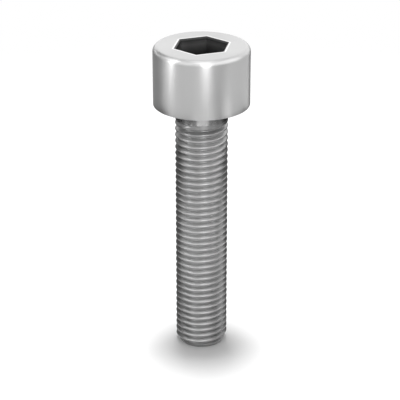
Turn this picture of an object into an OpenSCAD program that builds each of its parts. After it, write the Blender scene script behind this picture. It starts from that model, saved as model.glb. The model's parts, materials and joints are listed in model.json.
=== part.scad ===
// Hexagon socket head cap screw, one solid piece of steel, standing upright on its flat tip.
// Lengths are in millimetres and angles in degrees. The screw's axis is Z and its tip rests at Z = 0.
// The shank is the plain cylinder that the thread's crests lie on.

/* [Thread] */
// Major diameter of the thread, which is also the diameter of the plain neck
thread_d = 8; // [5:0.5:10]
// Distance from one thread crest to the next
thread_pitch = 1; // [0.5:0.25:1.5]
// Length of the shank, from the tip to the underside of the head
shank_len = 40; // [20:1:80]
// Length of the chamfer at the tip, measured along the screw
tip_chamfer = 1.05; // [0.5:0.05:2]

/* [Head] */
// Diameter of the head
head_d = 14.6; // [13:0.1:18]
// Height of the head
head_h = 9.1; // [8.5:0.1:14]
// Radius that rounds the edge of the head's top
top_round = 0.85; // [0.2:0.05:1.5]
// Radius that breaks the sharp edge round the head's underside
rim_round = 0.05; // [0.02:0.01:0.4]
// Radius of the fillet between the head's underside and the neck
neck_fillet = 0.4; // [0.1:0.05:0.8]

/* [Key socket] */
// Size of the hexagon key, across its flats
key_size = 7; // [4:0.5:8]
// Play between the key and the socket, across the flats
key_play = 0.1; // [0.02:0.01:0.2]
// Depth of the socket's corners, from the top of the head
socket_depth = 5; // [3:0.1:6]
// Included angle of the pointed bottom that the punch leaves
point_angle = 120; // [110:1:150]
// Width of the chamfer round the socket's mouth
mouth_chamfer = 0.2; // [0.05:0.05:0.5]
// Turn of the hexagon's corner about the screw's axis, from the X axis
socket_turn = 19.5; // [0:0.5:60]

/* [Hidden] */
$fn = 96;

head_r = head_d / 2;
shank_r = thread_d / 2;
screw_h = shank_len + head_h;

// A 60 degree thread with a flat crest and a rounded root is this share of its pitch deep
thread_depth = 0.6134 * thread_pitch;
// The chamfer takes the tip down to the thread's root
tip_r = shank_r - thread_depth;

socket_af = key_size + key_play;
socket_corner_r = socket_af / 2 / cos(30);
point_depth = socket_corner_r / tan(point_angle / 2);
// A cut that opens at a face runs past it by this much
cut_over = 1;

// What rounding takes off an outside corner at the origin, whose material lies towards -X and -Y
module corner_waste(r) {
    translate([-r, -r]) difference() {
        square(2 * r);
        circle(r);
    }
}

// Half the screw's section, with its axis along Y and its tip at Y = 0
module turned_profile() {
    fillet_x = shank_r + neck_fillet;
    fillet_y = shank_len - neck_fillet;
    difference() {
        polygon([
            [0, 0],
            [tip_r, 0],
            [shank_r, tip_chamfer],
            [shank_r, fillet_y],
            [fillet_x, fillet_y],
            [fillet_x, shank_len],
            [head_r, shank_len],
            [head_r, screw_h],
            [0, screw_h],
        ]);
        translate([fillet_x, fillet_y]) circle(neck_fillet);
        translate([head_r, shank_len]) mirror([0, 1]) corner_waste(rim_round);
        translate([head_r, screw_h]) corner_waste(top_round);
    }
}

// The hexagon punch: flats down to the corners' depth, then a shallow cone
module punch() {
    reach = socket_depth + point_depth;
    intersection() {
        translate([0, 0, -reach]) cylinder(h = reach + cut_over, r = socket_corner_r, $fn = 6);
        rotate_extrude() polygon([
            [0, cut_over],
            [0, -reach],
            [2 * socket_corner_r, 2 * point_depth - reach],
            [2 * socket_corner_r, cut_over],
        ]);
    }
}

// A bevelled bar over each pair of opposite flats: where all three meet is the mouth's chamfer
module mouth_cut() {
    half = socket_af / 2;
    intersection_for(side = [30:60:150]) {
        rotate([90, 0, side]) linear_extrude(height = head_d, center = true) polygon([
            [-half, -mouth_chamfer],
            [half, -mouth_chamfer],
            [half + mouth_chamfer + cut_over, cut_over],
            [-half - mouth_chamfer - cut_over, cut_over],
        ]);
    }
}

module cap_screw() {
    color("silver") difference() {
        rotate_extrude() turned_profile();
        translate([0, 0, screw_h]) rotate(socket_turn) {
            punch();
            mouth_cut();
        }
    }
}

cap_screw();
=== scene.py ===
# %% [markdown]
# # Hexagon socket head cap screw
#
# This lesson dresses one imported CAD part: a bright steel cap screw that stands on its flat tip.
# The CAD solid has the head, the key socket and a plain shank as wide as the thread's crests.
# A buyer also sees the thread, so the whole screw is made again here as one closed skin. The skin
# lies on the CAD solid everywhere, and dips under it only in the thread's groove.

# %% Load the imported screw
import json
import math

import bmesh
import bpy
import numpy as np
from mathutils import Matrix, Vector


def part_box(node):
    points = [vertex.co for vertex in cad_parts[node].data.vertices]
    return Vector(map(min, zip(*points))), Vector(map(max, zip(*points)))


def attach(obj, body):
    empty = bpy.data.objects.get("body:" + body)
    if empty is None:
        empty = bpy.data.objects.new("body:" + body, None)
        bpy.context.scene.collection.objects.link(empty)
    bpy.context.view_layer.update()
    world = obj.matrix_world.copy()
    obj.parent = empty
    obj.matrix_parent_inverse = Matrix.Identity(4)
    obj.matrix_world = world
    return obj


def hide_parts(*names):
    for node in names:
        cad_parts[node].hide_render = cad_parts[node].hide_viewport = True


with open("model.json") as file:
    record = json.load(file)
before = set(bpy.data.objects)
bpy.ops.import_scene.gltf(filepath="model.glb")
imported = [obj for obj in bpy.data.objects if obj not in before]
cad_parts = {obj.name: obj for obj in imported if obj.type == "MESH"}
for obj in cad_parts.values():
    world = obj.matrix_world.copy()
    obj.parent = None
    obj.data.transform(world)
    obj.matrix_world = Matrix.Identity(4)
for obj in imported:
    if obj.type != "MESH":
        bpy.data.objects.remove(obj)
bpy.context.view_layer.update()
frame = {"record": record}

# %% [markdown]
# ## Sizes
#
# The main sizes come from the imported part, so the skin follows it if it is packed again at another
# size. The head and the whole height are read from its box, and the shank from the mounts that
# the record states. Only the small radii and the socket, which a box can't tell, are written here.
# Lengths are in millimetres until the mesh is made, and Blender then gets metres.

# %% Read the main sizes
MM = 0.001
low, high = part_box("cap_screw")
mounts = {mount["name"]: mount for mount in frame["record"]["mounts"]}
screw_h = high.z / MM
head_r = min(-low.x, -low.y, high.x, high.y) / MM
shank_r = mounts["thread"]["dims"]["r_mm"]
shank_len = mounts["bearing_face"]["pos_m"][2] / MM
print(f"head {2 * head_r:.2f} x {screw_h - shank_len:.2f}, shank {2 * shank_r:.2f} x {shank_len:.2f} mm")

# %% The small sizes
top_round = 0.85
rim_round = 0.05
neck_fillet = 0.4
key_size = 7
key_play = 0.1
socket_depth = 5
point_angle = 120
mouth_chamfer = 0.2
socket_turn = 19.5
socket_half = (key_size + key_play) / 2
print(f"hexagon {2 * socket_half:.1f} mm across flats, {socket_depth} mm deep at its corners")

# %% [markdown]
# ## One grid round the screw
#
# Nearly everything on a screw is round, so each patch of skin is a grid of rows and columns. The
# columns are angles about the axis, the same ones from the tip to the bottom of the socket, and the
# rows follow the section from the tip outwards and upwards. Both hold whole numpy arrays, so no
# loop visits a vertex. There are 24 columns to each side of the hexagon and the first one is turned
# with the socket, so that all six corners fall on columns and stay sharp.

# %% Columns
COLUMNS = 144
angle = math.radians(socket_turn) + 2 * np.pi * np.arange(COLUMNS) / COLUMNS
print(f"{COLUMNS} columns, {360 / COLUMNS:.1f} degrees apart")


# %% Patches of skin
def patch(radius, height, distance, finish, shift=0):
    """A grid of skin. Row i and column c lie at that radius and height, at the column's angle.
    Each quad joins a row and the next one, and the last column meets the first one shift rows on.
    The UV map holds turns about the axis across, and millimetres along the section upwards."""
    rows = len(height)
    place = [radius * np.cos(angle), radius * np.sin(angle), height + 0 * angle]
    row, column = np.mgrid[0:rows, 0:COLUMNS]
    here = row * COLUMNS + column
    beside = np.where(column < COLUMNS - 1, here + 1, (row + shift) * COLUMNS)
    quads = np.stack([here, beside, beside + COLUMNS, here + COLUMNS], axis=-1).reshape(-1, 4)
    quads = quads[quads.max(axis=1) < here.size]
    first = quads[:, 0] % COLUMNS
    turns = np.stack([first, first + 1, first + 1, first], axis=-1) / COLUMNS
    along = (distance + 0 * angle).ravel()[quads]
    return {
        "vertices": np.stack(place, axis=-1).reshape(-1, 3) * MM,
        "quads": quads,
        "uv": np.stack([turns, along], axis=-1),
        "finish": np.full(len(quads), finish),
    }


def arc(centre, size, start, end, steps):
    """Points (radius, height) of an arc in the section's plane: the centre plus size times the
    cosine and sine of evenly spaced angles in degrees."""
    a = np.radians(np.linspace(start, end, steps + 1))
    return np.stack([centre[0] + size * np.cos(a), centre[1] + size * np.sin(a)], axis=-1)


def line(start, end, steps):
    """Points (radius, height) that divide a straight line evenly, without its start."""
    return np.linspace(start, end, steps + 1)[1:]


# Numbers of the five finishes, in the order of the material slots
TURNED, ROLLED, DRAWN, PUNCHED, RIM_HIGHLIGHT = range(5)

# %% [markdown]
# ## The thread
#
# The thread of a screw like this isn't cut. The blank is rolled between two hard dies, which press
# the groove in and push the crests up. So the thread has a rounded root, smooth flanks at 60
# degrees to each other, and crests that are full and round where the metal flowed together. Those
# round crests are what catches the light as one broad bright line a turn.
#
# A bump map would leave the outline smooth, and rings stacked in an array would have no lead. Here
# the grid's rows climb with the helix instead. Each edge of the thread then is a row, so it stays
# crisp with 14 rows to a pitch. Column 144 would be one pitch higher than column 0, so the last
# column is joined to the first one 14 rows on.

# %% Section of the thread
pitch = 1.0
thread_depth = 0.6134 * pitch
ROOT_R = 0.1
CREST_R = 0.15
FLANK_SLOPE = math.tan(math.radians(60))
# Where the root's arc meets the flank, and the flank the crest's arc, as shares of the pitch
ROOT_HALF = ROOT_R * math.cos(math.radians(30))
CREST_FROM = 0.3686
# Rows from the groove's middle to the crest's, as shares of the pitch
half_rows = np.array([ROOT_HALF / 2, ROOT_HALF, 0.23, CREST_FROM, 0.41, 0.455])
ROWS_A_PITCH = 2 * len(half_rows) + 2
row_shares = np.concatenate([-half_rows[::-1], [0], half_rows, [0.5]])


def groove_depth(share):
    """Depth of the groove, in pitches, at a share of the pitch from the groove's middle. Near the
    middle it is an arc of the root's radius, then it rises along the flank, and an arc of the
    crest's radius takes it to 0."""
    off = np.abs(share)
    arch = thread_depth / pitch - ROOT_R + np.sqrt(np.maximum(ROOT_R**2 - off**2, 0))
    foot = thread_depth / pitch - ROOT_R + math.sqrt(ROOT_R**2 - ROOT_HALF**2)
    flank = np.maximum(foot - FLANK_SLOPE * (off - ROOT_HALF), 0)
    crown = CREST_R - np.sqrt(np.maximum(CREST_R**2 - (0.5 - off)**2, 0))
    return np.where(off <= ROOT_HALF, arch, np.where(off < CREST_FROM, flank, crown))


print(f"thread {thread_depth:.3f} mm deep, {ROWS_A_PITCH} rows to each pitch")

# %% [markdown]
# At the neck the dies let go within about half a turn. The groove is lifted outwards there until
# nothing is left of it, so it gets narrow as it gets shallow, as a real run-out does. At the tip a
# long chamfer runs down to the thread's root, so the crests end in the cone and the groove runs out
# through it. Rows that the helix carries past the tip or into the neck are gathered on the edge
# there, and they merge into one vertex a column when doubles are removed.

# %% Heights and radii of the thread
FRONT = math.radians(270)
# Height of one groove's middle on the side that faces the camera
groove_at_front = 36.75
# Where the run-out begins and how long it is, and how far past it the plain neck begins
runout_start = 37.2
runout_len = 0.55
NECK_GAP = 0.05
neck_from = runout_start + runout_len + NECK_GAP
tip_chamfer = 1.05
tip_r = shank_r - thread_depth
GATHER = 0.03 * pitch
# Turns from the front to each column. The helix climbs by one pitch a turn
lead = (angle - FRONT) / (2 * np.pi)


def gather(height, level):
    """Moves heights that are within a hair of a level onto it, so that an edge there is clean."""
    return np.where(np.abs(height - level) < GATHER, level, height)


def thread_radius(height):
    """The crest's radius less the groove's depth at that height and angle. The run-out's lift is
    taken off the depth, and the chamfer's cone trims what stands out of it."""
    share = ((height - groove_at_front) / pitch - lead + 0.5) % 1 - 0.5
    lift = thread_depth * np.clip((height - runout_start) / runout_len, 0, 1)
    radius = shank_r - np.maximum(pitch * groove_depth(share) - lift, 0)
    return np.minimum(radius, tip_r + height * thread_depth / tip_chamfer)


print(f"thread from the tip to {runout_start} mm, plain neck from {neck_from:.1f} mm")

# %% The threaded shank
# Spare turns lie past both ends, and their rows are gathered there
first_turn = math.floor(-groove_at_front / pitch) - 1
last_turn = math.ceil((neck_from - groove_at_front) / pitch) + 2
turns = np.arange(first_turn, last_turn)[:, None]
at_front = groove_at_front + pitch * (turns + row_shares).ravel()
height = at_front[:, None] + pitch * lead
for level in (0, tip_chamfer, neck_from):
    height = gather(height, level)
height = np.clip(height, 0, neck_from)
thread = patch(thread_radius(height), height, height, ROLLED, shift=ROWS_A_PITCH)
print(f"thread: {len(at_front)} rows, {len(thread['quads'])} quads")

# %% [markdown]
# ## The tip
#
# The tip is sheared flat and then faced. It is a disc, and its innermost row has no radius, so its
# vertices merge into a pole.

# %% The tip's face
TIP_ROWS = 7
tip_radii = np.linspace(0, tip_r, TIP_ROWS)[:, None]
tip = patch(tip_radii, 0 * tip_radii, tip_radii, TURNED)
print(f"tip: flat, {2 * tip_r:.2f} mm across")

# %% [markdown]
# ## The head
#
# The head is forged, and then turned all over: a small fillet where it meets the neck, the flat
# bearing face under it, a broken edge, the straight side and a generous round at the top. That is
# one section line, carried round the axis.

# %% Neck, underside, side and rounded top edge
seat_out = head_r - rim_round
side_top = screw_h - top_round
# The last number of each line and arc is how many steps divide it
section = np.concatenate([
    [[shank_r, neck_from]],
    line([shank_r, neck_from], [shank_r, shank_len - neck_fillet], 3),
    arc([shank_r + neck_fillet, shank_len - neck_fillet], neck_fillet, 180, 90, 6)[1:],
    line([shank_r + neck_fillet, shank_len], [seat_out, shank_len], 4),
    arc([seat_out, shank_len + rim_round], rim_round, -90, 0, 5)[1:],
    line([head_r, shank_len + rim_round], [head_r, side_top], 8),
    arc([head_r - top_round, side_top], top_round, 0, 90, 16)[1:],
])
steps = np.linalg.norm(np.diff(section, axis=0), axis=1)
along = np.concatenate([[0], np.cumsum(steps)])
head = patch(section[:, :1], section[:, 1:], neck_from + along[:, None], TURNED)
neck_rows = np.count_nonzero(section[:, 1] < shank_len) - 1
head["finish"][:neck_rows * COLUMNS] = DRAWN
print(f"head: {len(section)} rows")

# %% [markdown]
# ## The key socket
#
# A hexagonal punch is driven into the hot blank, so the socket has six flats with sharp corners
# between them, a soft edge at its mouth and the shallow point of the punch at its bottom. On the
# same columns a hexagon is only a radius that changes with the angle. The rows of the top face
# change from the head's circle to that hexagon, so face and socket are one grid with no cut.

# %% Hexagonal rows
from_flat = (np.arange(COLUMNS) * 2 * np.pi / COLUMNS) % (np.pi / 3) - np.pi / 6
hexagon = 1 / np.cos(from_flat)
corner_r = socket_half * hexagon.max()
point_slope = 1 / math.tan(math.radians(point_angle / 2))
point_depth = corner_r * point_slope
print(f"hexagon {2 * corner_r:.2f} mm across its corners")


def socket_row(half, depth):
    """A hexagon of that half width across its flats, at that depth under the head's top: its
    radius is the half width over the cosine of the angle from the nearest flat's middle."""
    return half * hexagon, screw_h - depth + 0 * hexagon


# %% Top face and mouth
FACE_ROWS = 7
# Width of the paler ring round the socket's mouth, a painted highlight
RIM_HIGHLIGHT_WIDTH = 0.25
# Softened edges take the chamfer this many of its own widths out and down
CHAMFER_REACH = 1.15
wall_top = CHAMFER_REACH * mouth_chamfer
face_out = head_r - top_round
face_in = socket_half + wall_top
face_rows = []
for share in np.linspace(0, 1, FACE_ROWS):
    inner, level = socket_row(face_in + RIM_HIGHLIGHT_WIDTH, 0)
    face_rows.append(((1 - share) * face_out + share * inner, level))
# The chamfer's rows, as (half width added, depth) in chamfer widths
for added, depth in [(CHAMFER_REACH, 0), (0.85, 0.1), (0.1, 0.85), (0, CHAMFER_REACH)]:
    face_rows.append(socket_row(socket_half + added * mouth_chamfer, depth * mouth_chamfer))
print(f"top face: {2 * face_out:.1f} mm across, {len(face_rows)} rows with the mouth")

# %% Flats and pointed bottom
WALL_STEPS = 8
POINT_STEPS = 8
flat_radius = socket_half * hexagon
wall_foot = socket_depth + (corner_r - flat_radius) * point_slope
for share in np.linspace(0, 1, WALL_STEPS + 1)[1:]:
    face_rows.append((flat_radius, screw_h - wall_top - share * (wall_foot - wall_top)))
for share in np.linspace(1, 0, POINT_STEPS + 1)[1:]:
    radius = share * flat_radius
    face_rows.append((radius, screw_h - socket_depth - (corner_r - radius) * point_slope))
radius = np.array([row[0] for row in face_rows])
height = np.array([row[1] for row in face_rows])
steps = np.hypot(np.diff(radius, axis=0), np.diff(height, axis=0)).mean(axis=1)
along = np.concatenate([[0], np.cumsum(steps)])[:, None]
socket = patch(radius, height, along, PUNCHED)
# The face's last row and the mouth's first one have the paler ring between them, a painted highlight
face_quads = COLUMNS * (FACE_ROWS - 1)
socket["finish"][:face_quads] = TURNED
socket["finish"][face_quads:face_quads + COLUMNS] = RIM_HIGHLIGHT
mouth_at = along[FACE_ROWS, 0]
print(f"socket: {2 * socket_half:.2f} mm across flats, {socket_depth + point_depth:.2f} mm deep")

# %% [markdown]
# ## One closed piece
#
# The four patches are stacked into one mesh. Removing doubles closes the seams between them and
# the two poles. Edges that turn by more than 35 degrees are marked sharp, and the rest is smooth.


# %% Join the patches
# Vertices closer than this, in millimetres, become one
MERGE = 0.002
# Edges that turn by more than this are sharp
SHARP = math.radians(35)


def join(name, patches):
    """One mesh object from several patches: their arrays are stacked, each patch's quads count on
    from the vertices before it, and vertices in the same place become one."""
    counts = np.cumsum([0] + [len(p["vertices"]) for p in patches])
    vertices = np.concatenate([p["vertices"] for p in patches])
    quads = np.concatenate([p["quads"] + n for p, n in zip(patches, counts)])
    mesh = bpy.data.meshes.new(name)
    mesh.from_pydata(vertices.tolist(), [], quads.tolist())
    uv_map = mesh.uv_layers.new(name="lathe")
    uv_map.uv.foreach_set("vector", np.concatenate([p["uv"] for p in patches]).ravel())
    finish = np.concatenate([p["finish"] for p in patches])
    mesh.polygons.foreach_set("material_index", finish.astype(np.int32))
    tidy = bmesh.new()
    tidy.from_mesh(mesh)
    bmesh.ops.remove_doubles(tidy, verts=tidy.verts, dist=MERGE * MM)
    open_edges = sum(not edge.is_manifold for edge in tidy.edges)
    volume = tidy.calc_volume(signed=True)
    tidy.to_mesh(mesh)
    tidy.free()
    mesh.shade_smooth()
    mesh.set_sharp_from_angle(angle=SHARP)
    piece = bpy.data.objects.new(name, mesh)
    bpy.context.scene.collection.objects.link(piece)
    triangles = sum(len(polygon.vertices) - 2 for polygon in mesh.polygons)
    print(f"{name}: {triangles} triangles, {open_edges} open edges, {volume / MM**3:.1f} mm3")
    return piece


screw = join("threaded_cap_screw", [tip, thread, head, socket])
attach(screw, "root")
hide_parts("cap_screw")

# %% [markdown]
# ## Steel
#
# The screw is bright steel with a thin clear-passivated zinc plating, which gives a pale neutral
# grey with no yellow. Plain metal has no colour of its own under its reflections, so what the eye
# reads is how sharp they are. Turning leaves fine rings round the axis, which spread a reflection
# along the axis and keep it narrow across. That is why a turned head shows long upright bands of
# light. The dies leave the thread a little duller, with lines along its groove that spread the
# light more. The neck keeps the sharper shine of the drawn wire that the blank was made from. A
# punch leaves a dull skin with marks along its stroke. A thin paler ring round the socket's mouth
# is a painted highlight, which stands in for the light that the rim catches.
#
# All five finishes are one recipe with other numbers. Their marks follow the UV map, which holds
# turns about the axis and millimetres along the section.


# %% Nodes and colours
def linear(hex_colour):
    """An sRGB hex colour as the linear RGBA that Blender works in."""
    srgb = np.array([int(hex_colour[i:i + 2], 16) / 255 for i in (1, 3, 5)])
    rgb = np.where(srgb <= 0.04045, srgb / 12.92, ((srgb + 0.055) / 1.055) ** 2.4)
    return (*rgb, 1)


def node(tree, kind, settings=None, **sockets):
    """Adds a node, sets its properties, then sets each named input or links it to a socket. A name
    such as i0 means the input with that number."""
    made = tree.nodes.new(kind)
    for name, value in (settings or {}).items():
        setattr(made, name, value)
    for name, value in sockets.items():
        socket = made.inputs[int(name[1:]) if name[0] == "i" and name[1:].isdigit() else name]
        if isinstance(value, bpy.types.NodeSocket):
            tree.links.new(value, socket)
        else:
            socket.default_value = value
    return made


# %% A recipe for marked steel
# The turn that lays the spread of a reflection along the axis, where the tangent runs round it
QUARTER = 0.25
# Size of the duller patches in millimetres, and how far they change the roughness to both sides
CLOUD_SIZE = 4
CLOUD_ROUGHNESS = 0.03
# Nearly all of a noise's values lie between these
NOISE_LOW, NOISE_HIGH = 0.3, 0.7


def steel(name, colour, roughness, spread, marks, mark_depth):
    """Bare or plated steel with fine marks. marks is how many there are to a turn and to a
    millimetre of the section, so a large second number gives rings and a large first one gives
    strokes. mark_depth is in millimetres. spread is how far the marks stretch a reflection, from 0
    to 1."""
    material = bpy.data.materials.new(name)
    material.use_nodes = True
    tree = material.node_tree
    shader = tree.nodes["Principled BSDF"]
    shader.inputs["Base Color"].default_value = linear(colour)
    shader.inputs["Metallic"].default_value = 1
    shader.inputs["Anisotropic"].default_value = spread
    shader.inputs["Anisotropic Rotation"].default_value = QUARTER
    place = node(tree, "ShaderNodeUVMap", {"uv_map": "lathe"})
    tangent = node(tree, "ShaderNodeTangent", {"direction_type": "UV_MAP", "uv_map": "lathe"})
    tree.links.new(tangent.outputs["Tangent"], shader.inputs["Tangent"])
    stretch = node(tree, "ShaderNodeVectorMath", {"operation": "MULTIPLY"}, i0=place.outputs["UV"])
    stretch.inputs[1].default_value = (*marks, 1)
    lines = node(tree, "ShaderNodeTexNoise", {"noise_dimensions": "2D"}, Scale=1.0, Detail=2.0,
                 Vector=stretch.outputs["Vector"])
    bump = node(tree, "ShaderNodeBump", None, Strength=1.0, Distance=mark_depth * MM,
                Height=lines.outputs["Fac"])
    tree.links.new(bump.outputs["Normal"], shader.inputs["Normal"])
    # Plating and handling leave slightly duller patches a few millimetres wide
    spot = node(tree, "ShaderNodeTexCoord")
    clouds = node(tree, "ShaderNodeTexNoise", None, Scale=1 / (CLOUD_SIZE * MM), Detail=3.0,
                  Vector=spot.outputs["Object"])
    dull = node(tree, "ShaderNodeMapRange", None, Value=clouds.outputs["Fac"])
    dull.inputs["From Min"].default_value = NOISE_LOW
    dull.inputs["From Max"].default_value = NOISE_HIGH
    dull.inputs["To Min"].default_value = roughness - CLOUD_ROUGHNESS
    dull.inputs["To Max"].default_value = roughness + CLOUD_ROUGHNESS
    tree.links.new(dull.outputs["Result"], shader.inputs["Roughness"])
    return material


# %% Five finishes
finishes = {
    # Pale and soft, with a reflection drawn out along the axis
    TURNED: steel("turned_plated_steel", "#ABABAB", 0.35, 0.5, (1.5, 6), 0.0004),
    # A little darker and duller, because the plating is thinner on the thread
    ROLLED: steel("rolled_plated_steel", "#A6A6A6", 0.4, 0.7, (2, 10), 0.0002),
    # As pale as the head and smoother, so the neck shows sharper lights and darks
    DRAWN: steel("drawn_plated_steel", "#ABABAB", 0.26, 0.2, (1.5, 6), 0.0001),
    # Dull grey, with strokes down the socket's walls. Painted shade further down takes the place of this
    # grey
    PUNCHED: steel("punched_steel", "#6C6C6C", 0.42, 0.2, (150, 0.6), 0.003),
    # Painted highlight: a paler ring round the mouth, for the light that its rim catches
    RIM_HIGHLIGHT: steel("rim_highlight_steel", "#D0D0D0", 0.35, 0.3, (1.5, 6), 0.0004),
}
for number in sorted(finishes):
    screw.data.materials.append(finishes[number])
print("finishes:", [material.name for material in screw.data.materials])

# %% [markdown]
# Shade is painted into the colour of two finishes, where the corner under the head and the
# socket's recess are shaded. So the thread gets darker over its last turns under the head. The
# socket is dark from its chamfer to half a millimetre inside its mouth, lightest a little lower, and
# dark again in its lower half. The UV map's second number tells how far along the section a spot is.


# %% Painted shade: greys that change along the section
def shade(material, stops):
    """Paints shade into a finish: a grey that changes along the section, in place of its plain one.
    Each stop is a distance in millimetres and the hex colour there. The grey goes evenly from one
    stop to the next."""
    first, last = stops[0][0], stops[-1][0]
    tree = material.node_tree
    place = node(tree, "ShaderNodeUVMap", {"uv_map": "lathe"})
    parts = node(tree, "ShaderNodeSeparateXYZ", None, Vector=place.outputs["UV"])
    along = node(tree, "ShaderNodeMapRange", None, Value=parts.outputs["Y"])
    along.inputs["From Min"].default_value = first
    along.inputs["From Max"].default_value = last
    ramp = node(tree, "ShaderNodeValToRGB", None, Fac=along.outputs["Result"])
    while len(ramp.color_ramp.elements) < len(stops):
        ramp.color_ramp.elements.new(0.5)
    for element, (distance, colour) in zip(ramp.color_ramp.elements, stops):
        element.position = (distance - first) / (last - first)
        element.color = linear(colour)
    tree.links.new(ramp.outputs["Color"], tree.nodes["Principled BSDF"].inputs["Base Color"])
    greys = ", ".join(f"{colour} at {distance:.2f} mm" for distance, colour in stops)
    print(f"{material.name}: {greys}")


# Painted shade in the socket's recess: millimetres inside its mouth, and the grey there
socket_shade_stops = [(0, "#303030"), (0.5, "#3A3A3A"), (1.1, "#787878"), (2.8, "#404040")]
shade(finishes[PUNCHED], [(mouth_at + inside, grey) for inside, grey in socket_shade_stops])
# Painted shade under the head: the thread begins to get darker this far under it
HEAD_SHADE_REACH = 5
shade(finishes[ROLLED], [(shank_len - HEAD_SHADE_REACH, "#A6A6A6"), (neck_from, "#8A8A8A")])

# %% [markdown]
# ## Camera
#
# The camera looks down on the screw by about 24 degrees, through a long lens, so the shank's sides
# stay nearly parallel. Its place follows from four readings of the picture: the tilt, the focal
# length, where the middle of the head's seat lies and how large a head radius is there.

# %% Place the camera
FRAME_PX = 400
TILT = math.radians(24.35)
FOCAL_PX = 1609
SEAT_PX = (201.55, 103.0)
HEAD_RADIUS_PX = 48.59
right = Vector((1, 0, 0))
up = Vector((0, math.sin(TILT), math.cos(TILT)))
back = right.cross(up)
seat = Vector((0, 0, shank_len * MM))
reach = FOCAL_PX * head_r * MM / HEAD_RADIUS_PX
offset = right * (SEAT_PX[0] - FRAME_PX / 2) + up * (FRAME_PX / 2 - SEAT_PX[1])
lens = bpy.data.cameras.new("camera")
lens.sensor_width = 36
lens.lens = lens.sensor_width * FOCAL_PX / FRAME_PX
lens.clip_start = 0.01
lens.clip_end = 5
camera = bpy.data.objects.new("camera", lens)
eye = seat + back * reach - offset * reach / FOCAL_PX
camera.matrix_world = Matrix.Translation(eye) @ Matrix((right, up, back)).transposed().to_4x4()
bpy.context.scene.collection.objects.link(camera)
bpy.context.scene.camera = camera
print(f"camera {reach / MM:.0f} mm away, {lens.lens:.0f} mm lens, {eye.z / MM:.0f} mm high")

# %% [markdown]
# ## Floor and light
#
# The picture is a product shot: a pale floor, a white backdrop, and steel that shows the studio
# round it. The matt floor is lit by one lamp overhead and by the world, and it keeps the head's
# soft shadow. The lamp stands a little back and slightly to the left, so the shadow comes forward.
#
# Steel shows what stands round it instead. So the bands of light on the head are white cards, and
# the dark flanks of the thread are dark ones. Only the steel sees the cards, and they light nothing
# else. The floor fades into the backdrop further out, as a studio's sweep does. It has a hole under
# the screw's flat tip, which only a camera under the floor can tell: the tip would be black there.

# %% Floor
FLOOR_R = 200
# The hole is a little smaller than the tip, which hides its edge
HOLE_R = 0.98 * tip_r
# How far the board lies under the tip's face, so that the two don't share a plane
FLOOR_DROP = 0.01
sides = 96
floor_angle = 2 * np.pi * np.arange(sides) / sides
ring = np.stack([np.cos(floor_angle), np.sin(floor_angle)], axis=-1)
flat = np.concatenate([HOLE_R * ring, FLOOR_R * ring])
below = np.full((2 * sides, 1), -FLOOR_DROP)
inner = np.arange(sides)
after = (inner + 1) % sides
floor_quads = np.stack([inner, inner + sides, after + sides, after], axis=-1)
floor_mesh = bpy.data.meshes.new("floor")
floor_mesh.from_pydata((np.hstack([flat, below]) * MM).tolist(), [], floor_quads.tolist())
floor = bpy.data.objects.new("floor", floor_mesh)
bpy.context.scene.collection.objects.link(floor)
print(f"floor: {2 * FLOOR_R} mm across")

# %% The floor's paint
# A matt white board, clear from below, that fades into the backdrop between these distances
FADE_FROM, FADE_TO = 60, 150
floor_paint = bpy.data.materials.new("matt_white_board")
floor_paint.use_nodes = True
tree = floor_paint.node_tree
tree.nodes.remove(tree.nodes["Principled BSDF"])
board = node(tree, "ShaderNodeBsdfDiffuse", None, Color=linear("#F8F8F8"))
clear = node(tree, "ShaderNodeBsdfTransparent")
side = node(tree, "ShaderNodeNewGeometry")
spot = node(tree, "ShaderNodeTexCoord")
far = node(tree, "ShaderNodeVectorMath", {"operation": "LENGTH"}, i0=spot.outputs["Object"])
fade = node(tree, "ShaderNodeMapRange", {"interpolation_type": "SMOOTHSTEP"},
            Value=far.outputs["Value"])
fade.inputs["From Min"].default_value = FADE_FROM * MM
fade.inputs["From Max"].default_value = FADE_TO * MM
gone = node(tree, "ShaderNodeMath", {"operation": "MAXIMUM"}, i0=fade.outputs["Result"],
            i1=side.outputs["Backfacing"])
seen = node(tree, "ShaderNodeMixShader", None, Fac=gone.outputs["Value"],
            i1=board.outputs["BSDF"], i2=clear.outputs["BSDF"])
tree.links.new(seen.outputs["Shader"], tree.nodes["Material Output"].inputs["Surface"])
floor_mesh.materials.append(floor_paint)
print(f"board: matt white, fading out from {FADE_FROM} to {FADE_TO} mm")

# %% The lamp overhead
lamp_at = Vector((-7, 64, 800)) * MM
lamp = bpy.data.lights.new("key", "AREA")
lamp.shape = "RECTANGLE"
lamp.size = 150 * MM
lamp.size_y = 180 * MM
# How bright its face is, where white paper in full light is 1, and the watts that a square metre
# of an area lamp takes to be as bright as that
lamp_glow = 49
WATTS = 4
lamp.energy = lamp_glow * WATTS * lamp.size * lamp.size_y
key = bpy.data.objects.new("key", lamp)
key.location = lamp_at
key.rotation_mode = "QUATERNION"
key.rotation_quaternion = lamp_at.to_track_quat("Z", "Y")
key.visible_glossy = False
bpy.context.scene.collection.objects.link(key)
print(f"lamp: {lamp.size / MM:.0f} mm wide, {lamp_at.z / MM:.0f} mm up, {lamp.energy:.2f} W")


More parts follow.
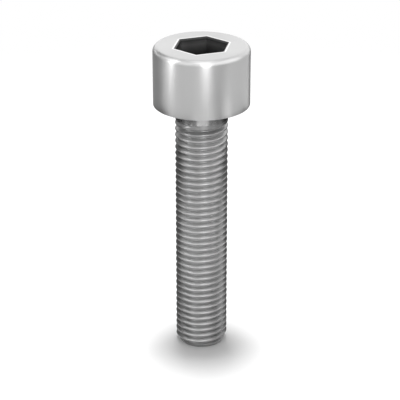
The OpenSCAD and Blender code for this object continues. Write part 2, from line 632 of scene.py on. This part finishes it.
# %% Cards that the steel shows
def card(name, azimuth, elevation, distance, width, height, glow, aim):
    """A card, in millimetres, that faces the screw's axis at the height aim from an azimuth and an
    elevation in degrees. Azimuth 0 is the camera's side and 90 its right. Only the steel sees the
    card. glow is its brightness, where white paper in full light is 1."""
    a, e = math.radians(azimuth), math.radians(elevation)
    out = Vector((math.sin(a) * math.cos(e), -math.cos(a) * math.cos(e), math.sin(e)))
    side = Vector((math.cos(a), math.sin(a), 0))
    rise = out.cross(side)
    middle = Vector((0, 0, aim)) + out * distance
    corners = [(middle + s * side * width / 2 + t * rise * height / 2) * MM
               for s, t in ((-1, -1), (1, -1), (1, 1), (-1, 1))]
    mesh = bpy.data.meshes.new(name)
    mesh.from_pydata(corners, [], [(0, 1, 2, 3)])
    paint = bpy.data.materials.new(name)
    paint.use_nodes = True
    tree = paint.node_tree
    tree.nodes.remove(tree.nodes["Principled BSDF"])
    lit = node(tree, "ShaderNodeEmission", None, Strength=glow)
    tree.links.new(lit.outputs["Emission"], tree.nodes["Material Output"].inputs["Surface"])
    mesh.materials.append(paint)
    board = bpy.data.objects.new(name, mesh)
    board.visible_camera = board.visible_diffuse = board.visible_shadow = False
    bpy.context.scene.collection.objects.link(board)


# Each card's azimuth, elevation, distance, width, height, glow and aim
cards = {
    # The backdrop behind, which the top face shows
    "back_card": (180, 28, 400, 1200, 400, 1.65, 40),
    # Light from above along the rounded edge, and a dark card for its far left
    "over_top": (180, 85, 200, 110, 150, 1.9, 40),
    "front_top": (9, 58, 200, 96, 150, 2.8, 40),
    "left_top": (-100, 48, 200, 40, 110, 3.8, 40),
    "left_top_flag": (-138, 34, 200, 90, 90, 0.35, 40),
    "right_top": (82, 38, 200, 180, 190, 2.3, 40),
    "right_edge": (44, 34, 200, 80, 190, 2.1, 40),
    "left_edge": (-36, 34, 200, 120, 190, 1.9, 40),
    # The upright bands of light down the head, and a soft patch low on its right
    "front_strip": (9, 0, 30, 6, 38, 8.8, 62.5),
    "front_wide": (9, 0, 30, 14, 30, 2.6, 68),
    "left_strip": (-66.5, 0, 32, 6, 43, 6, 61),
    "right_low": (56, 0, 28, 10, 10, 2.15, 28.5),
    # The grey band right of the middle, and the dark sides of the head
    "right_grey": (42, 0, 70, 40, 60, 0.66, 28),
    "left_flag": (-130, 0, 80, 100, 56, 0.36, 28),
    "right_flag": (158, 0, 80, 46, 44, 0.1, 22),
    # The dark flanks at both sides of the thread, and a grey one right of its middle
    "left_near_flag": (-135, 0, 12, 10, 36.5, 0.1, 18.45),
    "right_near_flag": (135, 0, 12, 10, 36.5, 0.1, 18.45),
    "right_near_grey": (77, 0, 14, 9, 20, 0.75, 26),
    # Under the head, where the neck and the top turns are dark at both sides
    "left_neck_front": (-43, 0, 12, 11.5, 3.2, 0.12, 35.2),
    "right_neck_front": (60, 0, 12, 15, 3.2, 0.12, 35.2),
    "left_neck_side": (-112, 0, 10, 19, 5.2, 0.05, 35.1),
    "right_neck_side": (121, 0, 10, 14, 5.2, 0.05, 35.1),
    # Round the tip, where the last turns are darker
    "front_tip_grey": (0, 0, 14, 13, 8, 0.7, 4),
    "left_tip_flag": (-75, 0, 12, 12, 10, 0.3, 5),
    "right_tip_flag": (70, 0, 12, 16, 12, 0.25, 6),
}
for name, numbers in cards.items():
    card(name, *numbers)
print(f"{len(cards)} cards")

# %% [markdown]
# The world is white to the camera, and to the steel and any glass, which show it. To matt things
# it gives a weaker light, so that the lamp's shadow stays visible. The view transform is the plain
# one, so a colour comes out about as it is written.

# %% World
WORLD_LIGHT = 0.54
world = bpy.data.worlds.new("studio")
world.use_nodes = True
bpy.context.scene.world = world
tree = world.node_tree
ray = node(tree, "ShaderNodeLightPath")
mirrored = node(tree, "ShaderNodeMath", {"operation": "MAXIMUM"},
                i0=ray.outputs["Is Glossy Ray"], i1=ray.outputs["Is Transmission Ray"])
shown = node(tree, "ShaderNodeMath", {"operation": "MAXIMUM"},
             i0=ray.outputs["Is Camera Ray"], i1=mirrored.outputs["Value"])
level = node(tree, "ShaderNodeMapRange", None, Value=shown.outputs["Value"])
level.inputs["To Min"].default_value = WORLD_LIGHT
level.inputs["To Max"].default_value = 1.0
backdrop = tree.nodes["Background"]
backdrop.inputs["Color"].default_value = linear("#FFFFFF")
tree.links.new(level.outputs["Result"], backdrop.inputs["Strength"])
bpy.context.scene.view_settings.view_transform = "Standard"
print(f"world: 1 as a backdrop, {WORLD_LIGHT} as a light")
